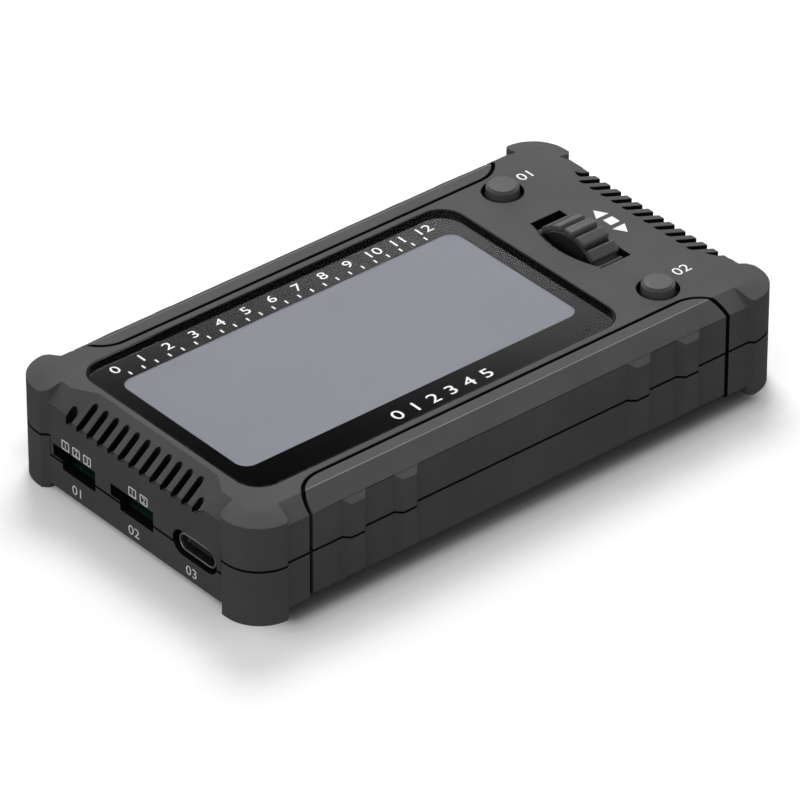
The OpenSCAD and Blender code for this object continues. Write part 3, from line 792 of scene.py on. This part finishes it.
def printed(name, marks, body="case", slot="case_plastic"):
    """Joins marks, each a shape with its place, into one piece of white ink."""
    sheet = bmesh.new()
    for shape, place in marks:
        bmesh.ops.transform(shape, matrix=place, verts=shape.verts)
        mesh = bpy.data.meshes.new("mark")
        shape.to_mesh(mesh)
        shape.free()
        sheet.from_mesh(mesh)
        bpy.data.meshes.remove(mesh)
    bmesh.ops.recalc_face_normals(sheet, faces=sheet.faces)
    return piece(name, mesh_of(name, sheet), ink, body, slot)


def on_end(y, z):
    """Place on the port end's wall, read from outside."""
    turn = Matrix(((0, 0, -1), (-1, 0, 0), (0, 1, 0))).to_4x4()
    return Matrix.Translation((end_x - SUNK, y * MM, z * MM)) @ turn


def on_top(x, y, level):
    """Place on a level face, read from the near side."""
    return Matrix.Translation((x * MM, y * MM, level + SUNK))


end_x = -53.35 * MM
top_z = glass_high.z + 0.05 * MM
glass_z = glass_low.z + 0.9 * INK

BOX_ROW = 10.0
FIGURE_ROW = 2.8
end_marks = []
for y, figure in ((17.1, "1"), (14.4, "2"), (11.7, "3"), (0.5, "1"), (-2.3, "2")):
    end_marks.append((frame_of(1.9 * MM, 1.7 * MM, 0.22 * MM), on_end(y, BOX_ROW)))
    end_marks.append((numerals(figure, 1.05 * MM), on_end(y, BOX_ROW)))
for y, figure in ((14.3, "01"), (0.3, "02"), (-13.8, "03")):
    end_marks.append((numerals(figure, 1.65 * MM, 1.2), on_end(y, FIGURE_ROW)))
printed("end_marks", end_marks)

key_marks = [
    (numerals("01", 2.0 * MM, 1.15), on_top(43.0, 20.0, top_z)),
    (numerals("02", 2.0 * MM, 1.15), on_top(43.4, -17.0, top_z)),
    (wedge(2.6 * MM, 2.2 * MM), on_top(44.3, 3.9, top_z)),
    (bar(1.9 * MM, 1.9 * MM), on_top(44.5, 0.85, top_z)),
    (wedge(2.6 * MM, 2.2 * MM), on_top(44.3, -2.2, top_z) @ Matrix.Rotation(math.pi, 4, "Z")),
]
printed("key_marks", key_marks)

scale_marks = [
    (numerals(str(i), 1.9 * MM, 1.25), on_top(-41.8 + 5.2 * i, 19.1, glass_z)) for i in range(13)
]
scale_marks += [
    (numerals(str(i), 2.3 * MM, 1.3), on_top(-16.4 + 3.6 * i, -18.6, glass_z)) for i in range(6)
]
printed("cover_marks", scale_marks, slot="lens")
repeated(
    "cover_ticks",
    block_shape((-0.15 * MM, -0.45 * MM, 0), (0.15 * MM, 0.45 * MM, INK_T)),
    ink,
    "case",
    "lens",
    Count=24,
    Step=(2.6 * MM, 0.0, 0.0),
    Centre=(-40.5 * MM, 16.9 * MM, glass_z - SUNK),
)

# Stage ----------------------------------------------------------------------------------------------


# A shadow painted into the floor round the object's footprint: where it starts, how far it fades, and its
# levels
PAINTED_SHADOW_X = 46 * MM
PAINTED_SHADOW_Y = 29 * MM
PAINTED_SHADOW_FADE = 8 * MM
PAINTED_SHADOW_LEVELS = [(0.0, 0.1), (0.15, 0.2), (0.4, 0.7), (0.7, 0.93), (1.0, 1.0)]


def floor_finish():
    """White floor with a shadow painted round where the object rests; it throws little light up at the
    object.
    """
    finish = Finish("floor_white", (0.9, 0.9, 0.9), Roughness=0.6, Specular_IOR_Level=0.2)
    camera_ray = finish.add("ShaderNodeLightPath", output="Is Camera Ray")
    along, across, _ = finish.axes()
    most = {"operation": "MAXIMUM"}
    past_end = finish.add("ShaderNodeMath", most, {0: abs(along) - PAINTED_SHADOW_X, 1: 0.0})
    past_side = finish.add("ShaderNodeMath", most, {0: abs(across) - PAINTED_SHADOW_Y, 1: 0.0})
    square = past_end * past_end + past_side * past_side
    gap = finish.add("ShaderNodeMath", {"operation": "SQRT"}, {0: square})
    # Painted shadow: dark by the footprint and fading to full white further out; it also dims the floor's
    # glow
    painted_shadow = finish.levels(gap / PAINTED_SHADOW_FADE, *PAINTED_SHADOW_LEVELS)
    seen = finish.blend(painted_shadow, (0.0, 0.0, 0.0), (0.95, 0.95, 0.95))
    finish.drive(Base_Color=finish.blend(camera_ray, (0.14, 0.14, 0.14), seen))
    glow = finish.add("ShaderNodeEmission", None, {"Color": (1, 1, 1, 1), "Strength": 1.0})
    lit = Value(finish, finish.shader.outputs[0])
    surface = finish.add("ShaderNodeMixShader", None, {0: camera_ray * painted_shadow * 0.08, 1: lit, 2: glow})
    finish.connect(surface, finish.tree.nodes["Material Output"].inputs["Surface"])
    return finish.material


FLOOR = 6.0
floor_shape = bmesh.new()
bmesh.ops.create_grid(floor_shape, x_segments=1, y_segments=1, size=FLOOR)
floor = bpy.data.objects.new("floor", mesh_of("floor", floor_shape))
bpy.context.scene.collection.objects.link(floor)
floor.data.materials.append(floor_finish())

world = bpy.data.worlds.new("studio")
bpy.context.scene.world = world
world.use_nodes = True
room = Graph(world.node_tree)
rays = room.add("ShaderNodeLightPath").socket.node.outputs
facing = room.add("ShaderNodeTexCoord", output="Generated")
height = room.add("ShaderNodeSeparateXYZ", None, {"Vector": facing}, output=2)
# What glossy and transmitted rays see: light up to about 32 degrees, then a fade to a black ceiling
SWEEP = [
    (0.535, 0.85),
    (0.5423, 0.65),
    (0.5504, 0.38),
    (0.5548, 0.15),
    (0.5588, 0.06),
    (0.564, 0.015),
    (0.5713, 0.0),
]
sweep = room.add("ShaderNodeValToRGB", {"stops": SWEEP}, {"Fac": height})
white = room.add("ShaderNodeBackground", None, {"Color": (1, 1, 1, 1), "Strength": 1.0})
mirrored = room.add("ShaderNodeBackground", None, {"Color": sweep, "Strength": 1.4})
fill = room.add("ShaderNodeBackground", None, {"Color": (1, 1, 1, 1), "Strength": 0.75})
shiny = Value(room, rays["Is Glossy Ray"]) + Value(room, rays["Is Transmission Ray"])
indirect = room.add("ShaderNodeMixShader", None, {0: shiny, 1: fill, 2: mirrored})
direct = Value(room, rays["Is Camera Ray"])
backdrop = room.add("ShaderNodeMixShader", None, {0: direct, 1: indirect, 2: white})
room.connect(backdrop, world.node_tree.nodes["World Output"].inputs["Surface"])


def lamp(name, place, aim, size, power):
    """A square soft lamp that faces a point."""
    light = bpy.data.lights.new(name, "AREA")
    light.shape = "SQUARE"
    light.size = size
    light.energy = power
    made = bpy.data.objects.new(name, light)
    bpy.context.scene.collection.objects.link(made)
    made.location = place
    made.rotation_euler = (Vector(aim) - Vector(place)).to_track_quat("-Z", "Y").to_euler()
    return made


lamp("back_lamp", (0.2, 0.24, 0.42), (0, 0, 0), 0.2, 1.5)
lamp("port_lamp", (-0.9, -0.2, 0.35), (0, 0, 0), 0.5, 0.8)

# Camera ---------------------------------------------------------------------------------------------

AZIMUTH = math.radians(-40.114)
ELEVATION = math.radians(33.834)
DISTANCE = 1.1511
AIM = Vector((-4.54, -5.09, 8.84)) * MM
back = Vector(
    (
        math.sin(AZIMUTH) * math.cos(ELEVATION),
        -math.cos(AZIMUTH) * math.cos(ELEVATION),
        math.sin(ELEVATION),
    )
)
eye = bpy.data.cameras.new("camera")
eye.sensor_width = 36.0
eye.lens = 332.04
eye.clip_start = 0.05
camera = bpy.data.objects.new("camera", eye)
bpy.context.scene.collection.objects.link(camera)
camera.location = AIM + back * DISTANCE
camera.rotation_euler = back.to_track_quat("Z", "Y").to_euler()
bpy.context.scene.camera = camera
bpy.context.scene.view_settings.view_transform = "Standard"
